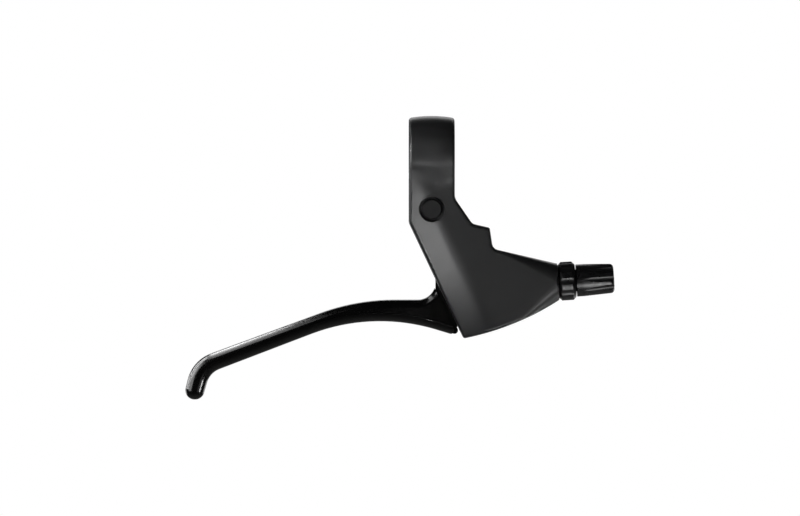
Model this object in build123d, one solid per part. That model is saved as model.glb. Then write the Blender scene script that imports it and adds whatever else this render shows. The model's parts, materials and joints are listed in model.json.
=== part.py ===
from build123d import *
import math
import os

# Bicycle brake lever for a flat handlebar, lever plane upright.
# X runs along the handlebar towards the cable, Z is up, -Y faces the viewer. Millimetres.
# The origin is on the handlebar's axis, at the middle of the clamp band.

# Clamp band
bar_d = 22.2
band_width = 15.8
band_wall = 3.4
band_crown_r = 44.0

# Band split, lugs and clamp bolt behind the bar
split_gap = 2.0
split_drop = 5.0
lug_half_width = 5.6
upper_lug = 8.0
lower_lug = 9.0
lug_edge_r = 0.8
bolt_d = 6.0
bolt_wall = 4.2
bolt_head_d = 10.0
bolt_head_h = 6.0
bolt_hex = 5.0
bolt_hex_depth = 3.0
bolt_clear = 0.25
bolt_chamfer = 0.6

# Bracket outline, seen from the front
bend_drop = 22.3
bend_r = 3.0
slant_deg = 25.3
slant_len = 44.1
belly = 1.62
corner_r = 0.9
mouth_x = 43.6
mouth_drop = 42.7
mouth_r = 6.3
adjuster_deg = 3.5
boss_x = 19.9
boss_drop = 24.1
boss_flat = 6.15
boss_deg = 13.0
boss_side_deg = 8.6
boss_height = 7.3
notch_r = 2.5
shoulder_drop = 14.0
shoulder_r = 4.0

# Bracket depth: main face, side facet, soft ridge between them, back
front_step = 1.5
front_fall_down = 0.03
front_fall_right = 0.11
facet_width = 10.0
facet_deg = 13.0
ridge_r = 26.0
back_depth = 11.5
back_fall_down = 0.06
back_fall_right = 0.055
front_neck_r = 16.0
back_neck_r = 3.0
bracket_edge_r = 1.2
nose_round_len = 24.0
nose_round_r = 6.0
nose_spare_deg = 4.0

# Cavity for the lever, and the cable slot
wall = 2.5
cavity_half = 6.0
nose_len = 16.0
boss_len = 6.5
boss_wall = 1.8
slot_width = 2.2
opening_in = 5.0
opening_out = 16.0
floor_deg = 10.5

# Pivot: axle, clip and bushes
pivot_drop = 17.8
axle_r = 2.5
axle_head_r = 3.6
axle_head_h = 3.2
axle_chamfer = 0.5
axle_fit = 0.03
counterbore_r = 4.45
cheek = 2.8
clip_r = 3.9
clip_t = 0.8
clip_groove = 0.6
clip_room = 0.4
clip_fit = 0.05
axle_tail = 0.7
bush_wall = 0.8
bush_len = 2.8
bush_flange = 0.6
bush_flange_r = 4.4
bush_fit = 0.05

# Lever hub and arm
hub_r = 4.6
hub_gap = 0.5
arm_half = 5.2
hub_back = 0.8
arm_lean_deg = 13.9
arm_right = 5.6
arm_entry = 3.3
arm_low = 34.5
arm_high = 22.5
arm_r = 1.5
tail_gap = 0.4
tail_step = 0.4
tail_r = 1.2
heel_half = 2.4
heel_depth = 4.4
heel_gap = 0.3
nipple_x = 6.3
nipple_drop = 27.0
nipple_r = 3.6
nipple_floor = 3.2
nipple_wall = 2.5
squeeze_deg = 32.0
fan_spare_deg = 3.0

# Lever blade outline, seen from the front
blade_top = 48.85
root_r = 6.0
root_x = 1.3
sweep_x = 26.0
sweep_r = 74.0
sweep_deg = 20.3
hook_x = 82.5
hook_r = 13.0
hook_deg = 13.7
tip_len = 13.94
tip_width = 6.7
tip_r = 3.2
palm_back = 4.23
palm_depth = 6.15
palm_r = 7.0
waist_x = 20.3
waist_depth = 3.75
waist_r = 66.0
tail_deg = 16.7
shoulder_gap = 1.6

# Lever blade depth
root_half = 7.4
tip_half = 3.7
blade_edge_r = 2.8

# Return spring on the axle
wire_d = 0.9
coil_r = 3.5
coil_turns = 3
coil_pitch = 0.95
coil_steps = 16
wire_sides = 10
spring_gap = 0.2
spring_room = 0.6
leg_len = 10.0
stop_leg_len = 5.0
stop_leg_deg = 13.0
groove_gap = 0.15

# Reach screw
reach_d = 4.0
reach_len = 8.5
reach_sink = 0.5
reach_hex = 2.0
reach_hex_depth = 2.2
reach_fit = 0.03
reach_chamfer = 0.6

# Cable adjuster
stem_d = 8.0
stem_in = 13.0
stem_fit = 0.05
wire_hole_r = 1.2
socket_r = 3.1
socket_depth = 8.0
sleeve_wall = 0.6
sleeve_step = 1.0
sleeve_sink = 0.6
lock_gap = 0.1
lock_r = 6.75
lock_len = 5.9
lock_chamfer = 1.1
lock_scallops = 10
scallop_r = 2.4
scallop_depth = 0.4
grip_gap = 0.35
grip_len = 12.9
grip_r = 5.6
grip_end_r = 5.05
grip_collar = 2.3
grip_round = 1.3
flutes = 10
flute_r = 1.5
flute_depth = 0.75

# Values worked out from the sizes above
BASE = (Align.CENTER, Align.CENTER, Align.MIN)
reach_far = 200.0
touch = 0.001
steep = 0.9
level = 0.3
bar_r = bar_d / 2
side_x = band_width / 2
crown_r = bar_r + band_wall
pivot = (0.0, -pivot_drop)
slant = math.radians(slant_deg)
bend = (-side_x, -bend_drop)
lean = math.radians(arm_lean_deg)
adjuster_tilt = math.radians(adjuster_deg)
bolt_y = bar_r + bolt_wall + bolt_d / 2
front_normal = (front_fall_right, -1, -front_fall_down)
back_normal = (back_fall_right, 1, -back_fall_down)
stop_y = cavity_half + cheek
clip_seat = cavity_half + cheek - clip_room


def along(start, length, direction):
    """Point at a length from a start point in a direction, in the XZ plane."""
    return (start[0] + length * direction[0], start[1] + length * direction[1])


def mix(first, second, share):
    """Point at a share of the way from the first point to the second."""
    return tuple(a + (b - a) * share for a, b in zip(first, second))


def meet(p, d, q, e):
    """Point where the line through p along d meets the line through q along e."""
    cross = d[0] * e[1] - d[1] * e[0]
    t = ((q[0] - p[0]) * e[1] - (q[1] - p[1]) * e[0]) / cross
    return along(p, t, d)


def polar(degrees):
    """Unit direction in the XZ plane, measured from +X towards +Z."""
    return (math.cos(math.radians(degrees)), math.sin(math.radians(degrees)))


slant_dir = (math.sin(slant), -math.cos(slant))
slant_in = (math.cos(slant), math.sin(slant))
slant_foot = along(bend, slant_len, slant_dir)
mouth = (mouth_x, -mouth_drop)
mouth_up = polar(90.0 + adjuster_deg)
boss_corner = (boss_x, -boss_drop)
boss_dir = polar(180.0 - boss_deg)
boss_root = along(boss_corner, boss_flat, boss_dir)
reach_start = mix(boss_corner, boss_root, 0.5)
reach_dir = polar(270.0 - boss_deg)
notch = along(boss_corner, boss_height, polar(boss_side_deg - 90.0))
arm_dir = (math.sin(lean), -math.cos(lean))
arm_side = (math.cos(lean), math.sin(lean))
nipple = (nipple_x, -pivot_drop - nipple_drop)
adjuster = Plane(
    (mouth_x, 0, -mouth_drop),
    x_dir=(math.sin(adjuster_tilt), 0, -math.cos(adjuster_tilt)),
    z_dir=(math.cos(adjuster_tilt), 0, math.sin(adjuster_tilt)),
)
reach = Plane(
    (reach_start[0], 0, reach_start[1]), x_dir=(0, 1, 0), z_dir=(reach_dir[0], 0, reach_dir[1])
)
pivot_line = Plane((0, 0, -pivot_drop), x_dir=(1, 0, 0), z_dir=(0, 1, 0))


def prism(face, front, back):
    """Solid of a face drawn in X and Z, from y = front to y = back."""
    return Pos(0, back, 0) * extrude(Plane.XZ * face, back - front)


def slab(face, half):
    """Solid of a face drawn in X and Z, the same depth on both sides of y = 0."""
    return prism(face, -half, half)


def behind(point, normal):
    """Large block on the far side of a plane from its outward normal."""
    block = Box(reach_far, reach_far, reach_far, align=(Align.CENTER, Align.CENTER, Align.MAX))
    return Plane(point, z_dir=normal) * block


def round_corner(face, point, radius):
    """Face with the corner nearest to a point rounded."""
    return fillet(face.vertices().sort_by_distance((point[0], point[1], 0))[0], radius)


def polygon(*points):
    """Flat face through points in X and Z."""
    return make_face(Polyline(*points, close=True))


def turned(*profile):
    """Solid of a profile of radius and height turned about the local Z axis."""
    return revolve(Plane.XZ * polygon(*profile), Axis.Z)


def on_pivot(radius, front, back):
    """Cylinder about the pivot axis, from y = front to y = back."""
    return slab_cylinder(pivot_line, radius, front, back)


def slab_cylinder(plane, radius, low, high):
    """Cylinder about a plane's axis, between two distances along it."""
    body = Cylinder(radius, high - low, align=BASE)
    return plane * Pos(0, 0, low) * body


def cable_slot(low, high):
    """Slot that lets the cable swing out downwards, along the adjuster axis."""
    align = (Align.MIN, Align.CENTER, Align.MIN)
    return adjuster * Pos(0, 0, low) * Box(reach_far, slot_width, high - low, align=align)


# Bracket

def bracket_outline():
    """Side outline of the bracket below the bar, with its corners rounded."""
    top = along(mouth, mouth_r, mouth_up)
    bottom = along(mouth, -mouth_r, mouth_up)
    shoulder = (side_x, -shoulder_drop)
    edges = [
        Polyline((side_x, 0), (-side_x, 0), bend, slant_foot),
        SagittaArc(slant_foot, bottom, -belly),
        Polyline(bottom, top, notch, boss_corner, boss_root, shoulder, (side_x, 0)),
    ]
    face = make_face([edge for line in edges for edge in line.edges()])
    face = round_corner(face, bend, bend_r)
    face = round_corner(face, slant_foot, corner_r)
    face = round_corner(face, notch, notch_r)
    face = round_corner(face, boss_corner, corner_r)
    face = round_corner(face, boss_root, notch_r)
    return round_corner(face, shoulder, shoulder_r)


def front_form():
    """Solid behind the main face and the side facet, with a soft ridge where they meet."""
    ridge = along(bend, facet_width, slant_in)
    depth = crown_r - front_step + front_fall_down * ridge[1] - front_fall_right * ridge[0]
    point = (ridge[0], -depth, ridge[1])
    facet = math.tan(math.radians(facet_deg))
    main = behind(point, front_normal)
    side = behind(
        point,
        (
            front_fall_right - facet * slant_in[0],
            -1,
            -front_fall_down - facet * slant_in[1],
        ),
    )
    form = main & side
    edge = form.edges().sort_by_distance(point)[0]
    return fillet(edge, ridge_r)


def back_form():
    """Solid in front of the plain back face."""
    return behind((0, back_depth, 0), back_normal)


def nose_corner(corner, face_normal, wall_normal):
    """Cutter that rounds a long edge by a cone, from nothing to its full radius at the mouth."""
    face = Vector(*face_normal).normalized()
    side = Vector(*wall_normal).normalized()
    outward = (face + side).normalized()
    edge = face.cross(side).normalized()
    edge = edge if edge.X > 0 else -edge
    share = face.dot(outward)
    turn = math.atan(nose_round_r / (nose_round_len * share))
    slim = math.asin(math.sin(turn) * share)
    start = Vector(*corner) - edge * nose_round_len
    axis = edge * math.cos(turn) - outward * math.sin(turn)
    chord = edge * math.sin(turn) * (1 - share**2) + outward * math.cos(turn)
    height = 2 * nose_round_len
    shell = turned(
        (0, 0),
        (height * math.tan(turn + math.radians(nose_spare_deg)), height),
        (height * math.tan(slim), height),
    )
    return Plane(start, z_dir=axis) * shell & behind(start, -chord)


def nose_corners():
    """Cutters for the four long edges that run to the adjuster's mouth."""
    top = along(mouth, mouth_r, mouth_up)
    low = along(mouth, -mouth_r, mouth_up)
    belly_end = SagittaArc(slant_foot, low, -belly) % 1
    cutters = []
    for (x, z), wall_normal in (
        (top, (notch[1] - top[1], 0, top[0] - notch[0])),
        (low, (belly_end.Y, 0, -belly_end.X)),
    ):
        front = front_fall_right * x - front_fall_down * z - crown_r + front_step
        back = back_depth - back_fall_right * x + back_fall_down * z
        cutters.append(nose_corner((x, front, z), front_normal, wall_normal))
        cutters.append(nose_corner((x, back, z), back_normal, wall_normal))
    return cutters


def rim_edges(body, outline):
    """Edges where the front and back of a slab meet its side walls."""
    rim = outline.wire()
    found = []
    for edge in body.edges():
        middle = edge.position_at(0.5)
        on_rim = rim.distance_to(Vector(middle.X, middle.Z, 0)) < touch
        if on_rim and not crosses(edge):
            found.append(edge)
    return found


def crosses(edge):
    """Whether an edge runs straight from front to back."""
    return edge.geom_type == GeomType.LINE and abs(edge.tangent_at(0.5).Y) > steep


def band():
    """Crowned band round the bar."""
    edge_r = crown_r - band_crown_r + math.sqrt(band_crown_r**2 - side_x**2)
    line = Polyline((side_x, edge_r), (side_x, 0), (-side_x, 0), (-side_x, edge_r))
    top = ThreePointArc((-side_x, edge_r), (0, crown_r), (side_x, edge_r))
    return revolve(Plane.XZ * make_face([*line.edges(), *top.edges()]), Axis.X)


def neck_edges(body, side):
    """Edges where the band meets the body, on the front (-1) or the back (1)."""
    found = []
    for edge in body.edges():
        middle = edge.position_at(0.5)
        beside = -crown_r < middle.Z < -touch and abs(middle.X) < side_x - touch
        if beside and side * middle.Y > bar_r / 2 and abs(edge.tangent_at(0.5).X) > level:
            found.append(edge)
    return found


def band_edges(body):
    """Edges of the band's side walls above the bar's middle."""
    found = []
    for edge in body.edges():
        middle = edge.position_at(0.5)
        if middle.Z > 0 and abs(abs(middle.X) - side_x) < touch:
            found.append(edge)
    return found


def casting():
    """Band and body in one, with soft necks and rounded edges."""
    outline = bracket_outline()
    body = slab(outline, reach_far / 2) & front_form() & back_form()
    body += band()
    body = fillet(neck_edges(body, -1), front_neck_r)
    body = fillet(neck_edges(body, 1), back_neck_r)
    body = fillet(rim_edges(body, outline) + band_edges(body), bracket_edge_r)
    for cutter in nose_corners():
        body -= cutter
    return body


def lug(low, high):
    """Ear for the clamp bolt behind the bar, between two heights."""
    ear = Pos(0, bolt_y) * Circle(lug_half_width)
    ear += Pos(0, bolt_y / 2) * Rectangle(2 * lug_half_width, bolt_y)
    body = Pos(0, 0, low) * extrude(ear, high - low)
    return fillet(body.faces().sort_by(Axis.Z)[-1].edges(), lug_edge_r)


def cavity():
    """Room for the lever's arm, open along the slanted side."""
    outline = bracket_outline()
    room = offset(outline, -wall)
    inner_top = along(bend, opening_in, slant_in)
    inner_foot = along(slant_foot, opening_in, slant_in)
    outer_foot = along(slant_foot, -opening_out, slant_in)
    outer_top = along(bend, -opening_out, slant_in)
    mouth_strip = polygon(
        (outer_top[0], 0), (inner_top[0], 0), inner_top, inner_foot, outer_foot, outer_top
    )
    lift = along(slant_foot, wall, (0, 1))
    floor_dir = polar(floor_deg)
    floor = polygon(
        along(lift, reach_far, floor_dir), along(lift, -reach_far, floor_dir), (0, -reach_far)
    )
    ceiling = Pos(0, -pivot_drop + hub_r + hub_gap) * Rectangle(
        reach_far, reach_far, align=(Align.CENTER, Align.MIN)
    )
    boss_side = along(reach_start, reach_d / 2 + boss_wall, boss_dir)
    boss_block = Pos(*boss_side) * Rot(0, 0, -boss_deg) * Rectangle(
        reach_far, 2 * boss_len, align=(Align.MIN, Align.CENTER)
    )
    nose_start = along(mouth, -nose_len, polar(adjuster_deg))
    nose_block = Pos(*nose_start) * Rot(0, 0, adjuster_deg) * Rectangle(
        reach_far, reach_far, align=(Align.MIN, Align.CENTER)
    )
    return slab(room + (mouth_strip - floor) - ceiling - boss_block - nose_block, cavity_half)


def bracket():
    """Cast bracket with band, cheeks, boss and nose."""
    body = casting()
    split_low = -split_drop - split_gap
    body += lug(split_low - lower_lug, split_low)
    body += lug(-split_drop, upper_lug - split_drop)
    body -= slab_cylinder(Plane.YZ, bar_r, -reach_far, reach_far)
    gap = Box(reach_far, reach_far, split_gap, align=(Align.CENTER, Align.MIN, Align.MIN))
    body -= Pos(0, 0, split_low) * gap
    body -= Pos(0, bolt_y, 0) * Cylinder(bolt_d / 2 + bolt_clear, reach_far)
    seat = Pos(0, bolt_y, upper_lug - split_drop)
    body -= seat * Cylinder(bolt_head_d / 2 + bolt_clear, reach_far, align=BASE)
    body -= cavity()
    body -= on_pivot(axle_r + axle_fit, -reach_far, reach_far)
    body -= on_pivot(counterbore_r, -reach_far, -stop_y)
    body -= on_pivot(counterbore_r, clip_seat, reach_far)
    body -= slab_cylinder(adjuster, stem_d / 2 + stem_fit, -reach_far, reach_far)
    body -= slab_cylinder(reach, reach_d / 2 + reach_fit, -reach_far, boss_len + wall)
    body -= cable_slot(-reach_far, reach_far)
    return body


def clamp_bolt():
    """Socket bolt that draws the band's upper lug down."""
    low = -split_drop - split_gap - lower_lug + bolt_chamfer
    seat = upper_lug - split_drop
    head = bolt_head_d / 2
    bolt = turned(
        (0, low),
        (bolt_d / 2 - bolt_chamfer, low),
        (bolt_d / 2, low + bolt_chamfer),
        (bolt_d / 2, seat),
        (head, seat),
        (head, seat + bolt_head_h - bolt_chamfer),
        (head - bolt_chamfer, seat + bolt_head_h),
        (0, seat + bolt_head_h),
    )
    hexagon = extrude(RegularPolygon(bolt_hex / 2, 6, major_radius=False), -bolt_hex_depth)
    return Pos(0, bolt_y, 0) * (bolt - Pos(0, 0, seat + bolt_head_h) * hexagon)


# Pivot

def pivot_axle():
    """Headed axle, with a groove for the clip at its far end."""
    face = -stop_y - axle_head_h
    groove_in = clip_seat + clip_fit
    groove_out = groove_in + clip_t + clip_fit
    end = groove_out + axle_tail
    return pivot_line * turned(
        (0, face),
        (axle_head_r - axle_chamfer, face),
        (axle_head_r, face + axle_chamfer),
        (axle_head_r, -stop_y),
        (axle_r, -stop_y),
        (axle_r, groove_in - clip_fit),
        (axle_r - clip_groove, groove_in - clip_fit),
        (axle_r - clip_groove, groove_out),
        (axle_r, groove_out),
        (axle_r, end - axle_chamfer),
        (axle_r - axle_chamfer, end),
        (0, end),
    )


def axle_clip():
    """Spring clip in the axle's groove, open on one side."""
    inner = axle_r - clip_groove + clip_fit
    plate = Circle(clip_r) - Circle(inner)
    plate -= Pos(clip_r, 0) * Rectangle(2 * clip_r, 2 * inner - 2 * clip_fit)
    return pivot_line * Pos(0, 0, clip_seat + clip_fit) * extrude(plate, clip_t)


def bush(flange_face, inward):
    """Flanged bush, its flange on a face of the hub and its sleeve inside."""
    bore = axle_r + bush_fit
    profile = [
        (bore, -bush_flange),
        (bush_flange_r, -bush_flange),
        (bush_flange_r, 0),
        (bore + bush_wall, 0),
        (bore + bush_wall, bush_len),
        (bore, bush_len),
    ]
    placed = [(radius, flange_face + inward * height) for radius, height in profile]
    return pivot_line * turned(*placed)


# Lever

def blade_outline():
    """Outline of the blade from its hooked tip to inside the bracket."""
    sweep = (-sweep_x, -blade_top)
    hook = meet(sweep, polar(180.0 + sweep_deg), (-hook_x, 0), (0, 1))
    tip_dir = polar(270.0 - hook_deg)
    tip_out = along(hook, tip_len, tip_dir)
    tip_in = along(tip_out, tip_width, (1, 0))
    palm = along(along(hook, palm_back, polar(sweep_deg)), palm_depth, polar(sweep_deg - 90.0))
    waist = (-waist_x, -blade_top - waist_depth)
    tail = along(waist, slant_len, polar(-tail_deg))
    root = (root_x, -blade_top)
    crotch = (root_x, -pivot_drop - nipple_drop / 2)
    face = polygon(root, sweep, hook, tip_out, tip_in, palm, waist, tail, crotch)
    for corner, radius in (
        (root, root_r),
        (sweep, sweep_r),
        (hook, hook_r),
        (tip_out, tip_r),
        (tip_in, tip_r),
        (palm, palm_r),
        (waist, waist_r),
    ):
        face = round_corner(face, corner, radius)
    return face


def blade():
    """Tapered blade with rounded edges, ending at the shoulder beside the bracket."""
    outline = blade_outline()
    body = slab(outline, root_half)
    taper = (root_half - tip_half) / hook_x
    for side in (1, -1):
        body &= behind((0, side * root_half, 0), (-taper, side, 0))
    foot = along(bend, -shoulder_gap, slant_in)
    shoulder = behind((foot[0], 0, foot[1]), (slant_in[0], 0, slant_in[1]))
    closing = outline.edges().sort_by(Axis.X)[-1]
    rim = [edge for edge in rim_edges(body, outline) if not on_line(edge, closing)]
    return (fillet(rim, blade_edge_r) & shoulder) - tail_corner()


def tail_corner():
    """Cutter that rounds the blade's lower corner beside the bracket."""
    waist = (-waist_x, -blade_top - waist_depth)
    tail_dir = polar(-tail_deg)
    tail_down = polar(270.0 - tail_deg)
    foot = along(bend, -shoulder_gap, slant_in)
    lower = along(waist, -tail_r, tail_down)
    inner = along(foot, -tail_r, slant_in)
    centre = meet(lower, tail_dir, inner, slant_dir)
    below = along(centre, 2 * tail_r, tail_down)
    beside = along(centre, 2 * tail_r, slant_in)
    beyond = meet(below, tail_dir, beside, slant_dir)
    return slab(polygon(centre, below, beyond, beside) - Pos(*centre) * Circle(tail_r), reach_far)


def on_line(edge, line):
    """Whether an edge of a slab lies over a line of its outline."""
    middle = edge.position_at(0.5)
    return line.distance_to(Vector(middle.X, middle.Z, 0)) < touch


def arm_outline():
    """Outline of the arm from the hub to the blade's root, with the heel for the reach screw."""
    left = along(pivot, -hub_r, arm_side)
    right = along(pivot, hub_r, arm_side)
    right_low = along(along(pivot, arm_right, arm_side), hub_r, arm_dir)
    crotch = meet(left, arm_dir, (root_x, 0), (0, 1))
    root = (root_x, -blade_top)
    waist = (-waist_x, -blade_top - waist_depth)
    tail_dir = polar(-tail_deg)
    under = along(waist, tail_step, polar(90.0 - tail_deg))
    sunk = meet(under, tail_dir, (root_x - root_r, 0), (0, 1))
    tail_line = along(bend, -tail_gap, slant_in)
    tail = meet(under, tail_dir, tail_line, slant_dir)
    entry = along(tail, -arm_entry, slant_dir)
    side = nipple_x + nipple_r + nipple_wall
    low = (side, -pivot_drop - arm_low)
    high = (side, -pivot_drop - arm_high)
    pad = along(reach_start, reach_sink + reach_len + heel_gap, reach_dir)
    pad_right = along(pad, heel_half, polar(-boss_deg))
    pad_left = along(pad, -heel_half, polar(-boss_deg))
    heel = along(pad_right, heel_depth, reach_dir)
    face = polygon(
        left, crotch, root, sunk, tail, entry, low, high, heel, pad_right, pad_left, right_low, right
    )
    for corner, radius in ((tail, tail_r), (low, arm_r), (high, arm_r), (heel, arm_r)):
        face = round_corner(face, corner, radius)
    return face


def cable_fan():
    """Room in the arm for the cable, which swings as the lever is squeezed."""
    half = slot_width / 2
    low = adjuster_deg - fan_spare_deg
    high = adjuster_deg + squeeze_deg + fan_spare_deg
    middle = (low + high) / 2
    start = along(nipple, half, polar(low - 90.0))
    end = along(nipple, half, polar(high + 90.0))
    fan = polygon(
        nipple, start, along(start, slant_len, polar(low)), along(end, slant_len, polar(high)), end
    )
    way = Pos(*nipple) * Rot(0, 0, middle) * Rectangle(
        slant_len, slot_width, align=(Align.MIN, Align.CENTER)
    )
    return slab(fan, half) + prism(way, -half, reach_far)


def spring_groove():
    """Groove in the arm's back that holds the spring's leg."""
    width = wire_d + 2 * groove_gap
    slot = Pos(*along(pivot, coil_r, arm_side)) * Rot(0, 0, arm_lean_deg - 90.0)
    face = slot * Rectangle(leg_len + groove_gap, width, align=(Align.MIN, Align.CENTER))
    leg_drift = leg_len * coil_pitch / (2 * math.pi * coil_r)
    return prism(face, spring_start() - wire_d / 2 - groove_gap - leg_drift, reach_far)


def lever_blade():
    """Lever forged in one piece: blade, arm, hub, heel and cable seat."""
    body = slab(arm_outline(), arm_half) + on_pivot(hub_r, -arm_half, arm_half) + blade()
    body -= on_pivot(hub_r + spring_room, hub_back, reach_far)
    body -= on_pivot(axle_r + bush_fit + bush_wall, -reach_far, reach_far)
    seat = Plane((nipple[0], 0, nipple[1]), x_dir=(1, 0, 0), z_dir=(0, 1, 0))
    body -= slab_cylinder(seat, nipple_r, -nipple_floor, reach_far)
    body -= cable_fan()
    body -= spring_groove()
    return body


# Return spring

def spring_start():
    """Depth of the spring's first turn, just behind the rear bush."""
    return hub_back + bush_flange + spring_gap + wire_d / 2


def return_spring():
    """Torsion spring on the axle, one leg in the arm and one under the bracket's roof."""
    turns = coil_turns + (90.0 - stop_leg_deg - arm_lean_deg) / 360.0
    coil = Helix(coil_pitch, coil_pitch * turns, coil_r, lefthand=True)
    steps = round(coil_steps * turns)
    arm_end = coil @ 0 - (coil % 0) * leg_len
    stop_end = coil @ 1 + (coil % 1) * stop_leg_len
    path = Polyline(arm_end, *[coil @ (step / steps) for step in range(steps + 1)], stop_end)
    section = Plane(arm_end, z_dir=coil % 0) * RegularPolygon(wire_d / 2, wire_sides)
    spring = sweep(section, path=path, transition=Transition.RIGHT)
    return pivot_line * Pos(0, 0, spring_start()) * Rot(0, 0, -arm_lean_deg) * spring


# Reach screw

def reach_screw():
    """Set screw that sets how far the lever stands from the bar."""
    end = reach_sink + reach_len
    radius = reach_d / 2
    screw = turned(
        (0, reach_sink),
        (radius, reach_sink),
        (radius, end - reach_chamfer),
        (radius - reach_chamfer, end),
        (0, end),
    )
    hexagon = extrude(RegularPolygon(reach_hex / 2, 6, major_radius=False), reach_hex_depth)
    return reach * (screw - Pos(0, 0, reach_sink) * hexagon)


# Cable adjuster

lock_end = lock_gap + lock_len
grip_start = lock_end + grip_gap
grip_end = grip_start + grip_len


def adjuster_stem():
    """Threaded tube for the cable, with the socket for its casing at the outer end."""
    thread = stem_d / 2
    sleeve = socket_r + sleeve_wall
    step = grip_start + sleeve_step
    end = grip_end - sleeve_sink
    stem = turned(
        (wire_hole_r, -stem_in),
        (thread, -stem_in),
        (thread, step),
        (sleeve, step),
        (sleeve, end),
        (socket_r, end),
        (socket_r, end - socket_depth),
        (wire_hole_r, end - socket_depth),
    )
    return adjuster * stem - cable_slot(-reach_far, reach_far)


def flute():
    """Cutter for one flute, deepening from the collar to the grip's outer end."""
    low = (grip_r + flute_r, grip_start + grip_collar)
    high = (grip_end_r + flute_r - flute_depth, grip_end)
    line = Plane((low[0], 0, low[1]), z_dir=(high[0] - low[0], 0, high[1] - low[1]))
    return slab_cylinder(line, flute_r, 0, 2 * grip_len)


def adjuster_grip():
    """Barrel round the stem, fluted except beside its cable slot."""
    thread = stem_d / 2
    sleeve = socket_r + sleeve_wall
    step = grip_start + sleeve_step
    face = polygon(
        (thread, grip_start),
        (grip_r, grip_start),
        (grip_r, grip_start + grip_collar),
        (grip_end_r, grip_end),
        (sleeve, grip_end),
        (sleeve, step),
        (thread, step),
    )
    face = round_corner(face, (grip_end_r, grip_end), grip_round)
    grip = revolve(Plane.XZ * face, Axis.Z)
    for turn in range(1, flutes - 1):
        grip -= Rot(0, 0, 360.0 * (turn + 0.5) / flutes) * flute()
    return adjuster * grip - cable_slot(-reach_far, reach_far)


def lock_ring():
    """Scalloped ring that locks the adjuster against the nose."""
    bore = stem_d / 2 + stem_fit
    rim = lock_r - lock_chamfer
    ring = turned(
        (bore, lock_gap),
        (rim, lock_gap),
        (lock_r, lock_gap + lock_chamfer),
        (lock_r, lock_end - lock_chamfer),
        (rim, lock_end),
        (bore, lock_end),
    )
    for turn in range(lock_scallops):
        around = Rot(0, 0, 360.0 * (turn + 0.5) / lock_scallops)
        ring -= around * Pos(lock_r + scallop_r - scallop_depth, 0, 0) * Cylinder(scallop_r, reach_far)
    return adjuster * ring - cable_slot(-reach_far, reach_far)


parts = {
    "bracket": bracket(),
    "clamp_bolt": clamp_bolt(),
    "pivot_axle": pivot_axle(),
    "axle_clip": axle_clip(),
    "bush_front": bush(-arm_half, 1),
    "bush_back": bush(hub_back, -1),
    "lever_blade": lever_blade(),
    "return_spring": return_spring(),
    "reach_screw": reach_screw(),
    "adjuster_stem": adjuster_stem(),
    "adjuster_grip": adjuster_grip(),
    "lock_ring": lock_ring(),
}

os.makedirs("parts", exist_ok=True)
for name, part in parts.items():
    export_step(part, f"parts/{name}.step")
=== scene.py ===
# %% [markdown]
# This lesson dresses a brake lever for a flat handlebar. The solids of the lever come in first, each
# one at its real size and place, in metres: X runs along the handlebar, Z is up, and the viewer
# stands on the -Y side. Separate meshes could be lined up by eye, but one fixed frame keeps every
# finish and every new piece in the same coordinates, so nothing has to be fitted by hand.

# %% Load the solids
import json
import math

import bpy
import numpy as np
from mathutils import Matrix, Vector


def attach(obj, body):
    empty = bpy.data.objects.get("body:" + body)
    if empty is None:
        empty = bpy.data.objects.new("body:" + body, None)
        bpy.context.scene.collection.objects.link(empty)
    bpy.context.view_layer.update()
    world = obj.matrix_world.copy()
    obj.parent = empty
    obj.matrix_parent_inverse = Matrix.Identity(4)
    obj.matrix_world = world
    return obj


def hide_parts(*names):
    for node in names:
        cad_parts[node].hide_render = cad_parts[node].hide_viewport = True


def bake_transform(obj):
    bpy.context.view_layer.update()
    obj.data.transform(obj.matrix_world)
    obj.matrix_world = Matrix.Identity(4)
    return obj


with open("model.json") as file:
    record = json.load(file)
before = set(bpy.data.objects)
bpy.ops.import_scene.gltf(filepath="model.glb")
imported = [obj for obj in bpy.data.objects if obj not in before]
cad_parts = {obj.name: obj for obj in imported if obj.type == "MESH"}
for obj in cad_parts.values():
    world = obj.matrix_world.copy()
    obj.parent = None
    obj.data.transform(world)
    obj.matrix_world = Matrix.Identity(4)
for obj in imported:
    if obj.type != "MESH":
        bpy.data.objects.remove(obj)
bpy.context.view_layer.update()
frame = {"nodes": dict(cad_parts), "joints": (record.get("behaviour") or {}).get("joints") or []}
nodes = frame["nodes"]
joints = {joint["name"]: joint for joint in frame["joints"]}
print("solids:", ", ".join(sorted(nodes)))
print("joints:", ", ".join(sorted(joints)))

# %% [markdown]
# Finishes are easiest to compare with a paint chart when they are written as sRGB hex values.
# Shaders work in linear light, so one function turns a hex value to linear, and the Standard view
# shows that colour again about as it was written.

# %% Colour and view
bpy.context.scene.view_settings.view_transform = "Standard"


def linear(hex_code):
    """Linear RGBA of an sRGB hex value: a dark channel is divided by 12.92, and a brighter one is
    shifted by 0.055, divided by 1.055 and raised to the power 2.4."""
    channels = np.array([int(hex_code[i : i + 2], 16) for i in (1, 3, 5)]) / 255
    bright = ((channels + 0.055) / 1.055) ** 2.4
    return (*np.where(channels <= 0.04045, channels / 12.92, bright).tolist(), 1.0)


print("mid grey in linear light:", round(linear("#808080")[0], 3))

# %% [markdown]
# A material is a small graph. Building it in code is mostly adding a node, setting it and joining
# it to earlier ones, so one function does just that. The Mix node repeats its inputs under the same
# names for each kind of value, so those are given by number: 0 is the factor, 2 and 3 are plain
# values, and 6 and 7 are colours. Every pattern below is measured in millimetres of the real
# surface, and the noise scale is what turns metres into such a grain.

# %% Node helper
MM = 0.001


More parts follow.
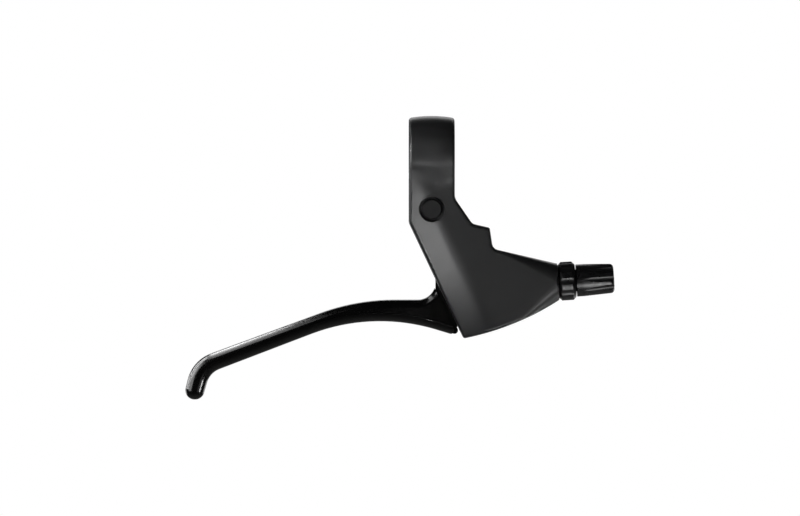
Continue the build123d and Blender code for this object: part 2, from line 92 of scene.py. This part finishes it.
def add(tree, kind, inputs=None, **settings):
    """Adds a node, applies its settings, and fills each input, given by its name or number, with a
    value or a link."""
    node = tree.nodes.new(kind)
    for name, value in settings.items():
        setattr(node, name, value)
    for name, value in (inputs or {}).items():
        if isinstance(value, bpy.types.NodeSocket):
            tree.links.new(value, node.inputs[name])
        else:
            node.inputs[name].default_value = value
    return node


def per_metre(size_mm):
    """Noise scale for a grain of that size: how many such grains fit in a metre."""
    return 1.0 / (size_mm * MM)


print("grains per metre at 0.3 mm:", round(per_metre(0.3)))

# %% [markdown]
# Every finish starts from an empty graph that knows where on the piece it is, and ends on one or
# more of the solids. An unwrapped image would need a map for each piece; the object's own
# coordinates are there already, and in metres.

# %% Blank material


def blank(name):
    """New material with an empty graph, its output and the object's own coordinates."""
    material = bpy.data.materials.new(name)
    material.use_nodes = True
    tree = material.node_tree
    tree.nodes.clear()
    output = add(tree, "ShaderNodeOutputMaterial")
    place = add(tree, "ShaderNodeTexCoord").outputs["Object"]
    return material, tree, output, place


def dress(material, *names):
    """Gives each of the named solids one material in place of its plain one."""
    for name in names:
        nodes[name].data.materials.clear()
        nodes[name].data.materials.append(material)
    print(material.name, "on", ", ".join(names))


print("solids to dress:", len(nodes))

# %% [markdown]
# No real finish is quite even. Paint, plastic and oxide have soft patches that are a little lighter
# and duller, and a fine relief from how they were made. Both are noise here, at two sizes, because
# noise keeps its size in millimetres on every piece.

# %% Grained surface
patch_detail, grain_detail = 3.0, 2.0
glossy_below, dull_above = 0.3, 0.7


def grained(name, dark, light, patch_mm, grain_mm, depth_mm, rough, sockets):
    """Surface with two grains: soft patches that shift its colour and roughness a little, and a
    fine relief of a given depth. The two roughness values are those of its glossy and dull
    patches, and the sockets are the shader's other values by name."""
    material, tree, output, place = blank(name)
    patch = add(
        tree,
        "ShaderNodeTexNoise",
        {"Vector": place, "Scale": per_metre(patch_mm), "Detail": patch_detail},
    ).outputs["Fac"]
    grain = add(
        tree,
        "ShaderNodeTexNoise",
        {"Vector": place, "Scale": per_metre(grain_mm), "Detail": grain_detail},
    ).outputs["Fac"]
    colour = add(tree, "ShaderNodeMix", {0: patch, 6: linear(dark), 7: linear(light)}, data_type="RGBA")
    sheen = add(
        tree,
        "ShaderNodeMapRange",
        {
            "Value": patch,
            "From Min": glossy_below,
            "From Max": dull_above,
            "To Min": rough[0],
            "To Max": rough[1],
        },
    )
    relief = add(tree, "ShaderNodeBump", {"Height": grain, "Distance": depth_mm * MM, "Strength": 1.0})
    body = add(
        tree,
        "ShaderNodeBsdfPrincipled",
        {
            "Base Color": colour.outputs[2],
            "Roughness": sheen.outputs["Result"],
            "Normal": relief.outputs["Normal"],
            **sockets,
        },
    )
    tree.links.new(body.outputs["BSDF"], output.inputs["Surface"])
    return material


print("patches are glossy below", glossy_below, "of the noise and dull above", dull_above)

# %% [markdown]
# The bracket is die-cast alloy with a baked dark grey paint. Up close such paint has a fine orange
# peel, about a third of a millimetre across and a micron or two deep, which spreads every highlight
# into a soft sheen. A plain rough shader would look like rubber, so the grain is a relief, and the
# paint itself stays half glossy.

# %% Satin paint
satin_paint = grained(
    "baked_satin_paint",
    dark="#1a1a1b",
    light="#1f1f20",
    patch_mm=6.0,
    grain_mm=0.35,
    depth_mm=0.0015,
    rough=(0.31, 0.35),
    sockets={"Specular IOR Level": 0.5, "IOR": 1.5},
)
dress(satin_paint, "bracket")

# %% [markdown]
# The lever is forged alloy under black gloss enamel. Its face is almost pure black and shows only
# what it mirrors, so the roughness is low and the relief is a long, shallow flow of the enamel,
# a few millimetres across.

# %% Gloss enamel
gloss_enamel = grained(
    "black_gloss_enamel",
    dark="#020202",
    light="#040404",
    patch_mm=9.0,
    grain_mm=6.0,
    depth_mm=0.0008,
    rough=(0.14, 0.18),
    sockets={"Specular IOR Level": 0.5, "IOR": 1.5},
)
dress(gloss_enamel, "lever_blade")

# %% [markdown]
# The adjuster's barrel and its lock ring are moulded in black nylon. The mould leaves a fine even
# grain, and handling polishes the plastic in small patches.

# %% Moulded nylon
moulded_nylon = grained(
    "moulded_black_nylon",
    dark="#0a0a0b",
    light="#111112",
    patch_mm=2.0,
    grain_mm=0.2,
    depth_mm=0.004,
    rough=(0.26, 0.36),
    sockets={"Specular IOR Level": 0.5, "IOR": 1.53},
)
dress(moulded_nylon, "adjuster_grip", "lock_ring")

# %% [markdown]
# Bolt, axle and reach screw are steel under a skin of black oxide. The skin hides the metal, so it
# is no metallic shader but a dark, slightly cloudy one with a weak sheen. The clip is bright spring
# steel, as the spring will be, and the bushes are natural acetal, a milky plastic.

# %% Small parts
black_oxide = grained(
    "black_oxide_steel",
    dark="#0e0e0f",
    light="#131314",
    patch_mm=1.5,
    grain_mm=0.25,
    depth_mm=0.002,
    rough=(0.30, 0.38),
    sockets={"Specular IOR Level": 0.35},
)
spring_steel = grained(
    "drawn_spring_steel",
    dark="#a4a5a8",
    light="#bcbdc0",
    patch_mm=1.0,
    grain_mm=0.12,
    depth_mm=0.002,
    rough=(0.24, 0.34),
    sockets={"Metallic": 1.0},
)
natural_acetal = grained(
    "natural_acetal",
    dark="#d6d0c2",
    light="#ded9cd",
    patch_mm=2.0,
    grain_mm=0.3,
    depth_mm=0.003,
    rough=(0.42, 0.52),
    sockets={},
)
dress(black_oxide, "clamp_bolt", "pivot_axle", "reach_screw")
dress(spring_steel, "axle_clip")
dress(natural_acetal, "bush_front", "bush_back")

# %% [markdown]
# The stem of the cable adjuster is a slotted tube with a screw thread, and a turn or two of it
# shows whenever the barrel is wound out. A plain cylinder would give the game away there. One
# could model a single ridge and array it along a screw; here the thread is a radius worked out from
# the distance along the axis and the angle round it, because a formula leaves no seams. The axis is
# that of the lock ring's joint, and all sizes are in millimetres.

# %% Thread and slot
mouth = np.array(joints["lock_ring_turn"]["pos_m"]) / MM
out = np.array(joints["lock_ring_turn"]["axis"])
across = np.array(joints["lever_pivot"]["axis"])
down = np.cross(across, out)

stem_from, stem_step, socket_from, stem_to = -13.0, 7.35, 10.65, 18.65
thread_r, sleeve_r, hole_r, socket_r = 4.0, 3.7, 1.2, 3.1
slot_half = 1.1
pitch, thread_depth, thread_flat = 1.0, 0.5, 1 / 6
plain_end = 0.6
thread_end = stem_step - plain_end


def thread_radius(s, turn):
    """Outer radius at a distance s along the axis and an angle round it: the crest radius less a
    triangle wave of s plus one pitch a turn, which is cut flat at crest and root and faded out
    towards the thread's ends, and the plain sleeve's radius past the step."""
    wave = np.abs(((s / pitch + turn / (2 * math.pi)) % 1.0) * 2 - 1)
    groove = np.clip((wave - thread_flat) / (1 - 2 * thread_flat), 0.0, 1.0) * thread_depth
    fade = np.clip((thread_end - s) / pitch, 0.0, 1.0) * np.clip((s - stem_from) / pitch, 0.0, 1.0)
    return np.where(s < stem_step, thread_r - groove * fade, sleeve_r)


def round_the_slot(radius, share):
    """Angle from straight down at a share of the way from one slot face to the other: the face
    lies where the sine of the angle is the slot's half width over the radius."""
    edge = np.arcsin(slot_half / radius)
    return edge + share * (2 * math.pi - 2 * edge)


print("thread:", round((thread_end - stem_from) / pitch, 1), "turns")

# %% [markdown]
# The stem's outside and inside are two grids over the same distances along the axis and the same
# shares of the way round, from one face of the cable slot to the other. A cut could make the slot
# afterwards; as the edges of the two grids its flat faces come for free.

# %% Threaded stem
hair = 0.001


def stem_surface(per_pitch=10, around=72):
    """Outer and inner skins of the slotted tube as two grids over the same distances and shares. A
    step in the radius is two rows of the grid, a hair apart."""
    threaded = np.linspace(stem_from, stem_step - hair, int((stem_step - stem_from) * per_pitch / pitch))
    s = np.concatenate([threaded, [stem_step, socket_from - hair, socket_from, stem_to]])[:, None]
    share = np.linspace(0.0, 1.0, around)[None, :]
    outer_r = thread_radius(s, round_the_slot(thread_r, share))
    inner_r = np.where(s < socket_from, hole_r, socket_r) + 0 * share
    skins = []
    for radius in (outer_r, inner_r):
        turn = round_the_slot(radius, share)
        spread = np.cos(turn)[..., None] * down + np.sin(turn)[..., None] * across
        skins.append(mouth + s[..., None] * out + radius[..., None] * spread)
    return np.stack(skins) * MM


def quads(a, b, c, d):
    """Faces whose corners run through four index grids of one shape."""
    return np.stack([a.ravel(), b.ravel(), c.ravel(), d.ravel()], axis=1)


def tube_faces(shape):
    """Faces of the tube: outer skin, inner skin the other way round, two end rings and two slot
    faces."""
    outer, inner = np.arange(np.prod(shape[:3])).reshape(shape[:3])
    return np.concatenate(
        [
            quads(outer[:-1, :-1], outer[:-1, 1:], outer[1:, 1:], outer[1:, :-1]),
            quads(inner[:-1, :-1], inner[1:, :-1], inner[1:, 1:], inner[:-1, 1:]),
            quads(outer[0, :-1], inner[0, :-1], inner[0, 1:], outer[0, 1:]),
            quads(outer[-1, :-1], outer[-1, 1:], inner[-1, 1:], inner[-1, :-1]),
            quads(outer[:-1, 0], outer[1:, 0], inner[1:, 0], inner[:-1, 0]),
            quads(outer[:-1, -1], inner[:-1, -1], inner[1:, -1], outer[1:, -1]),
        ]
    )


grid = stem_surface()
stem_mesh = bpy.data.meshes.new("threaded_stem")
stem_mesh.from_pydata(grid.reshape(-1, 3).tolist(), [], tube_faces(grid.shape).tolist())
stem_mesh.validate()
stem_mesh.update()
stem = bpy.data.objects.new("threaded_stem", stem_mesh)
bpy.context.scene.collection.objects.link(stem)
print("threaded stem:", len(stem_mesh.polygons), "faces")

# %% [markdown]
# The stem is turned from alloy bar and anodised black. The anodised skin keeps the metal's sheen
# under a dark dye, with a fine and slightly cloudy grain, so this one is a metallic shader.

# %% Finish and place of the stem
black_anodise = grained(
    "black_anodised_alloy",
    dark="#2b2b2e",
    light="#38383b",
    patch_mm=1.5,
    grain_mm=0.15,
    depth_mm=0.002,
    rough=(0.3, 0.4),
    sockets={"Metallic": 1.0},
)
stem_mesh.materials.append(black_anodise)
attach(stem, "adjuster")
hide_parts("adjuster_stem")
print("stem rides on the adjuster")

# %% [markdown]
# The return spring is a coil of round wire on the axle, with a straight leg at each end: one in
# the lever's arm, the other under the bracket's roof. A screw modifier could wind the coil, but not
# the legs, so the wire is a round profile carried along one path through all three.

# %% Spring wire
axle = np.array(joints["lever_pivot"]["pos_m"]) / MM
coil_r, coil_pitch, wire_r = 3.5, 0.95, 0.45
first_coil, lean, coil_turns = 2.05, math.radians(13.9), 3 + 63.1 / 360
arm_leg, roof_leg = 10.0, 5.0


def spring_wire(per_turn=48, around=16):
    """Round wire along a path: a helix about the axle, a straight leg along the tangent at each
    end, and at every point of the path a circle across the tangent."""
    turn = np.linspace(lean, lean + 2 * math.pi * coil_turns, int(per_turn * coil_turns))[:, None]
    rise = coil_pitch / (2 * math.pi)
    radial = np.hstack([np.cos(turn), 0 * turn, np.sin(turn)])
    tangent = np.hstack([-coil_r * np.sin(turn), rise + 0 * turn, coil_r * np.cos(turn)])
    tangent /= math.hypot(coil_r, rise)
    path = axle + coil_r * radial + (first_coil + rise * (turn - lean)) * across
    path = np.vstack([path[0] - arm_leg * tangent[0], path, path[-1] + roof_leg * tangent[-1]])
    radial, tangent = (np.vstack([row[0], row, row[-1]]) for row in (radial, tangent))
    side = np.cross(tangent, radial)
    share = np.linspace(0, 2 * math.pi, around, endpoint=False)[None, :, None]
    ring = np.cos(share) * radial[:, None] + np.sin(share) * side[:, None]
    return (path[:, None] + wire_r * ring) * MM


def wire_faces(rows, around):
    """Faces of a closed wire: quads from ring to ring, and one cap at each end."""
    index = np.arange(rows * around).reshape(rows, around)
    onward = np.roll(index, -1, axis=1)
    sides = quads(index[:-1], onward[:-1], onward[1:], index[1:])
    return sides.tolist() + [index[0, ::-1].tolist(), index[-1].tolist()]


wire = spring_wire()
print("spring wire from", wire.min((0, 1)), "to", wire.max((0, 1)))

# %% [markdown]
# Squeezing the lever winds the real spring. A rigid one riding on the lever would swing a leg through
# the bracket, so this one rides on nothing: it is one rigid mesh, baked into the model's frame and
# fixed to no moving body, and it takes the place of the plain return spring.

# %% Wound spring
spring_mesh = bpy.data.meshes.new("wound_spring")
spring_mesh.from_pydata(wire.reshape(-1, 3).tolist(), [], wire_faces(*wire.shape[:2]))
spring_mesh.shade_smooth()
spring_mesh.materials.append(spring_steel)
spring = bpy.data.objects.new("wound_spring", spring_mesh)
bpy.context.scene.collection.objects.link(spring)
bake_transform(spring)
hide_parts("return_spring")
print("wound spring:", len(spring_mesh.polygons), "faces")

# %% [markdown]
# A catalogue picture like this is taken from straight in front with a long lens, so that hardly
# anything tapers. The width that the picture shows at the object is chosen first, and the focal
# length follows: the sensor's width times the distance over that width.

# %% Camera
view_width = 0.2759
view_centre = Vector((-0.0109, 0.0, -0.0345))
view_distance = 1.8
camera = bpy.data.objects.new("camera", bpy.data.cameras.new("camera"))
camera.data.sensor_fit = "HORIZONTAL"
camera.data.lens = camera.data.sensor_width * view_distance / view_width
camera.data.clip_start = 0.05
camera.data.clip_end = 50.0
camera.location = view_centre + Vector((0.0, -view_distance, 0.0))
camera.rotation_euler = (math.radians(90.0), 0.0, 0.0)
bpy.context.scene.collection.objects.link(camera)
bpy.context.scene.camera = camera
print("focal length:", round(camera.data.lens), "mm")

# %% [markdown]
# The object hangs free in front of white, as cut out of a page. A floor close to it would throw
# light on its undersides, which are dark, so the floor is one large square far below.

# %% Floor
floor_z = -0.80
floor_half = 8.0
floor_mesh = bpy.data.meshes.new("floor")
corner = np.array([[-1, -1, 0], [1, -1, 0], [1, 1, 0], [-1, 1, 0]]) * floor_half
floor_mesh.from_pydata((corner + [0, 0, floor_z]).tolist(), [], [[0, 1, 2, 3]])
floor = bpy.data.objects.new("floor", floor_mesh)
bpy.context.scene.collection.objects.link(floor)
print("floor at", floor_z, "m")

# %% [markdown]
# The floor is pale matt paper. For the camera it has light of its own, so that it runs into the
# white background without a horizon. In reflections only its far end behind the object is white,
# so that undersides stay dark.

# %% Floor paper
paper_from, paper_to = 1.0, 4.0


def camera_sees(tree, ray):
    """One for a ray from the camera, straight or through a clear piece, and zero for the others: the
    larger of those two flags of the ray."""
    flags = {0: ray["Is Camera Ray"], 1: ray["Is Transmission Ray"]}
    return add(tree, "ShaderNodeMath", flags, operation="MAXIMUM").outputs[0]


pale_floor, tree, output, place = blank("pale_matt_floor")
ray = add(tree, "ShaderNodeLightPath").outputs
depth = add(tree, "ShaderNodeSeparateXYZ", {0: place}).outputs["Y"]
behind = add(tree, "ShaderNodeMapRange", {"Value": depth, "From Min": paper_from, "From Max": paper_to})
shine = add(
    tree,
    "ShaderNodeMath",
    {0: ray["Is Glossy Ray"], 1: behind.outputs["Result"], 2: camera_sees(tree, ray)},
    operation="MULTIPLY_ADD",
)
matt = add(tree, "ShaderNodeBsdfDiffuse", {"Color": linear("#cfcfcd")})
glow = add(tree, "ShaderNodeEmission", {"Color": linear("#ffffff"), "Strength": shine.outputs[0]})
both = add(tree, "ShaderNodeAddShader", {0: matt.outputs[0], 1: glow.outputs[0]})
tree.links.new(both.outputs[0], output.inputs["Surface"])
floor_mesh.materials.append(pale_floor)
print("reflections show white paper from", paper_from, "to", paper_to, "m behind")

# %% [markdown]
# Black gloss shows whatever stands round it. In the studio the white paper is behind the object
# and the room behind the camera is dark, so the world is white for the camera, white for
# reflections only towards the back, and a low even grey for everything else.

# %% World
ambient, dark_room = 0.05, 0.015
paper_edge, paper_full = 0.90, 0.99
world = bpy.data.worlds.new("studio")
world.use_nodes = True
bpy.context.scene.world = world
tree = world.node_tree
tree.nodes.clear()
ray = add(tree, "ShaderNodeLightPath").outputs
towards = add(tree, "ShaderNodeSeparateXYZ", {0: add(tree, "ShaderNodeTexCoord").outputs["Generated"]})
paper = add(
    tree,
    "ShaderNodeMapRange",
    {
        "Value": towards.outputs["Y"],
        "From Min": paper_edge,
        "From Max": paper_full,
        "To Min": dark_room,
        "To Max": 1.0,
    },
)
mirrored = add(tree, "ShaderNodeMix", {0: ray["Is Glossy Ray"], 2: ambient, 3: paper.outputs["Result"]})
level = add(tree, "ShaderNodeMix", {0: camera_sees(tree, ray), 2: mirrored.outputs[0], 3: 1.0})
back = add(tree, "ShaderNodeBackground", {"Color": linear("#ffffff"), "Strength": level.outputs[0]})
add(tree, "ShaderNodeOutputWorld", {"Surface": back.outputs[0]})
print("world:", ambient, "all round, and", dark_room, "where a reflection shows the room")

# %% [markdown]
# A softbox is a broad lamp that lights all that it faces. A honeycomb grid in front of it can narrow
# its light. Blender takes a lamp's power in watts, but what a black gloss mirrors is the brightness
# of the lamp's face, its radiance, so each lamp is given by that.

# %% Softbox
watts = {}


def hang(data, place, aim):
    """Puts a lamp in the scene, turned to an aim point, or facing down when there is none."""
    lamp = bpy.data.objects.new(data.name, data)
    lamp.location = place
    if aim is not None:
        lamp.rotation_euler = (Vector(place) - Vector(aim)).to_track_quat("Z", "Y").to_euler()
    bpy.context.scene.collection.objects.link(lamp)
    watts[data.name] = data.energy


def grid_share(half):
    """Share of a lamp's power that a grid of that half angle stands for: one less the half angle over
    its tangent."""
    return 1 - half / math.tan(half)


def softbox(name, place, size, radiance, aim=None, half_deg=89.0):
    """Area lamp of a given radiance, with a grid that lets no light past a half angle: its watts are
    the radiance times its area times pi, times the grid's share."""
    half = math.radians(half_deg)
    data = bpy.data.lights.new(name, "AREA")
    data.shape = "RECTANGLE"
    data.size, data.size_y = size
    data.spread = 2 * half
    data.energy = radiance * math.pi * size[0] * size[1] * grid_share(half)
    hang(data, place, aim)


print("share of a grid of 9 degrees:", round(grid_share(math.radians(9.0)), 4))

# %% [markdown]
# A beam is a small disc that lights only a circle round its aim, so a dark face next to a light one
# stays dark. Where a softbox would spill, a row or a grid of beams takes its place, close enough to
# melt into one reflection.

# %% Beams


def beam(name, place, aim, reach, radius, radiance):
    """Soft-edged beam from a disc that lights a circle of a given reach round its aim: its watts are
    4 pi times the radiance times the disc's area."""
    data = bpy.data.lights.new(name, "SPOT")
    data.spot_size = 2 * math.atan(reach / (Vector(place) - Vector(aim)).length)
    data.spot_blend = 1.0
    data.shadow_soft_size = radius
    data.energy = radiance * 4 * math.pi * math.pi * radius**2
    hang(data, place, aim)


def lamp_place(centre, distance, turn_deg, lift_deg):
    """Place at a distance from a centre, turned from the front to the left and lifted: x is minus
    the lift's cosine times the turn's sine, y is minus the product of both cosines, and z is the
    lift's sine, each times the distance."""
    turn, lift = math.radians(turn_deg), math.radians(lift_deg)
    way = (-math.cos(lift) * math.sin(turn), -math.cos(lift) * math.cos(turn), math.sin(lift))
    return Vector(centre) + distance * Vector(way)


def beam_grid(name, aim, distance, turns, lifts, **disc):
    """Beams at one distance from their aim, with a row for each lift and a column for each turn."""
    for row, lift in enumerate(lifts):
        for column, turn in enumerate(turns):
            beam(f"{name}_{row}{column}", lamp_place(aim, distance, turn, lift), aim, **disc)


print("a lamp one metre in front hangs at", tuple(lamp_place((0, 0, 0), 1.0, 0.0, 0.0)))

# %% [markdown]
# The slanted facet is the lightest face of the bracket, and the band round the bar fades towards
# its top. One softbox would light both alike, so the facet has a beam of its own and the band a row
# of them that climbs in front of it and grows weaker. A grid from the left and one beam from the
# right light the band's rounded edges.

# %% Facet and band lamps
bar_axis = (0.0, 0.0, 0.0)
facet = (0.002, -0.011, -0.028)
band = (0.001, -0.014, 0.002)
band_edge = (-0.008, -0.012, 0.003)
band_far = (0.008, -0.013, -0.002)
band_distance, band_lowest, band_climb = 0.7, -30.0, 15.0
band_levels = (130.0, 120.0, 90.0, 80.0, 75.0, 45.0)

beam("facet_beam", (-0.136, -0.676, -0.180), facet, reach=0.032, radius=0.015, radiance=415.0)
for step, band_level in enumerate(band_levels):
    lamp_at = lamp_place(bar_axis, band_distance, 0.0, band_lowest + band_climb * step)
    beam(f"band_{step}", lamp_at, band, reach=0.018, radius=0.01, radiance=band_level)
beam_grid(
    "side",
    band_edge,
    distance=0.6,
    turns=(44, 56, 68),
    lifts=(-8, 12, 32),
    reach=0.010,
    radius=0.010,
    radiance=560.0,
)
beam("band_right", (0.28, -0.60, -0.20), band_far, reach=0.016, radius=0.015, radiance=420.0)
print("facet and band:", len(watts), "lamps,", round(sum(watts.values())), "W in all")

# %% [markdown]
# Black enamel shows only reflections, so the white line along the lever's upper edge is the image
# of lamps above it. A long strip draws it on the blade, and a row of beams that weakens towards the
# front brightens it before the hook. A close grid lights the outside of the bend, and three more
# softboxes the hook's side and its tip.

# %% Lever lamps
hook = (-0.078, 0.0, -0.075)
streak = (-0.084, 0.0, -0.070)
tip = (-0.080, -0.003, -0.079)
row_x, row_z, row_from, row_step = -0.215, 0.25, 0.21, -0.07
row_levels = (27.0, 27.0, 23.0, 17.0, 11.0, 7.0, 4.5, 3.0, 2.0)

for step, row_level in enumerate(row_levels):
    lamp_at = (row_x, row_from + row_step * step, row_z)
    beam(f"edge_{step}", lamp_at, streak, reach=0.033, radius=0.03, radiance=row_level)
beam_grid(
    "bend",
    hook,
    distance=0.25,
    turns=(75, 95, 115),
    lifts=(12, 20, 28, 36, 44, 52),
    reach=0.025,
    radius=0.025,
    radiance=19.0,
)
softbox("top_strip", (-0.245, -0.10, 0.25), size=(0.08, 0.60), radiance=3.0)
softbox("hook_soft", (-0.40, -0.30, 0.01), size=(0.28, 0.28), radiance=3.8, aim=hook)
softbox("hook_light", (-0.375, -0.18, 0.10), size=(0.15, 0.20), radiance=4.5, aim=hook)
softbox("tip_light", (0.186, -0.22, -0.144), size=(0.12, 0.12), radiance=60.0, aim=tip, half_deg=9.0)
print("with the lever:", len(watts), "lamps,", round(sum(watts.values())), "W in all")

# %% [markdown]
# Two beams and a small softbox from the lower right pick out the nose's rims and its mouth. A large
# dim softbox in front keeps the main face readable, and three behind do the same for the back,
# because the part is looked at from all sides.

# %% Rim and fill lamps
rim = (0.039, -0.008, -0.047)
nose = (0.045, -0.005, -0.045)
back_distance, back_height = 0.85, -0.15

beam("rim_front", (0.33, -0.33, -0.295), rim, reach=0.018, radius=0.02, radiance=110.0)
beam("rim_low", (0.27, 0.03, -0.365), rim, reach=0.016, radius=0.02, radiance=200.0)
softbox("mouth_light", (0.09, -0.17, -0.18), size=(0.06, 0.06), radiance=25.0, aim=nose, half_deg=11.5)
softbox("face_light", (0.46, -1.10, -0.20), size=(0.50, 0.50), radiance=0.55, aim=nose)
for side, name in ((-1, "back_left"), (1, "back_right")):
    lamp_at = (back_distance * side, back_distance, back_height)
    softbox(name, lamp_at, size=(0.70, 0.70), radiance=1.6, aim=nose)
softbox("back_top", (0.0, 1.05, 0.62), size=(0.90, 0.40), radiance=1.6, aim=band)
print("with rims and fill:", len(watts), "lamps,", round(sum(watts.values())), "W in all")
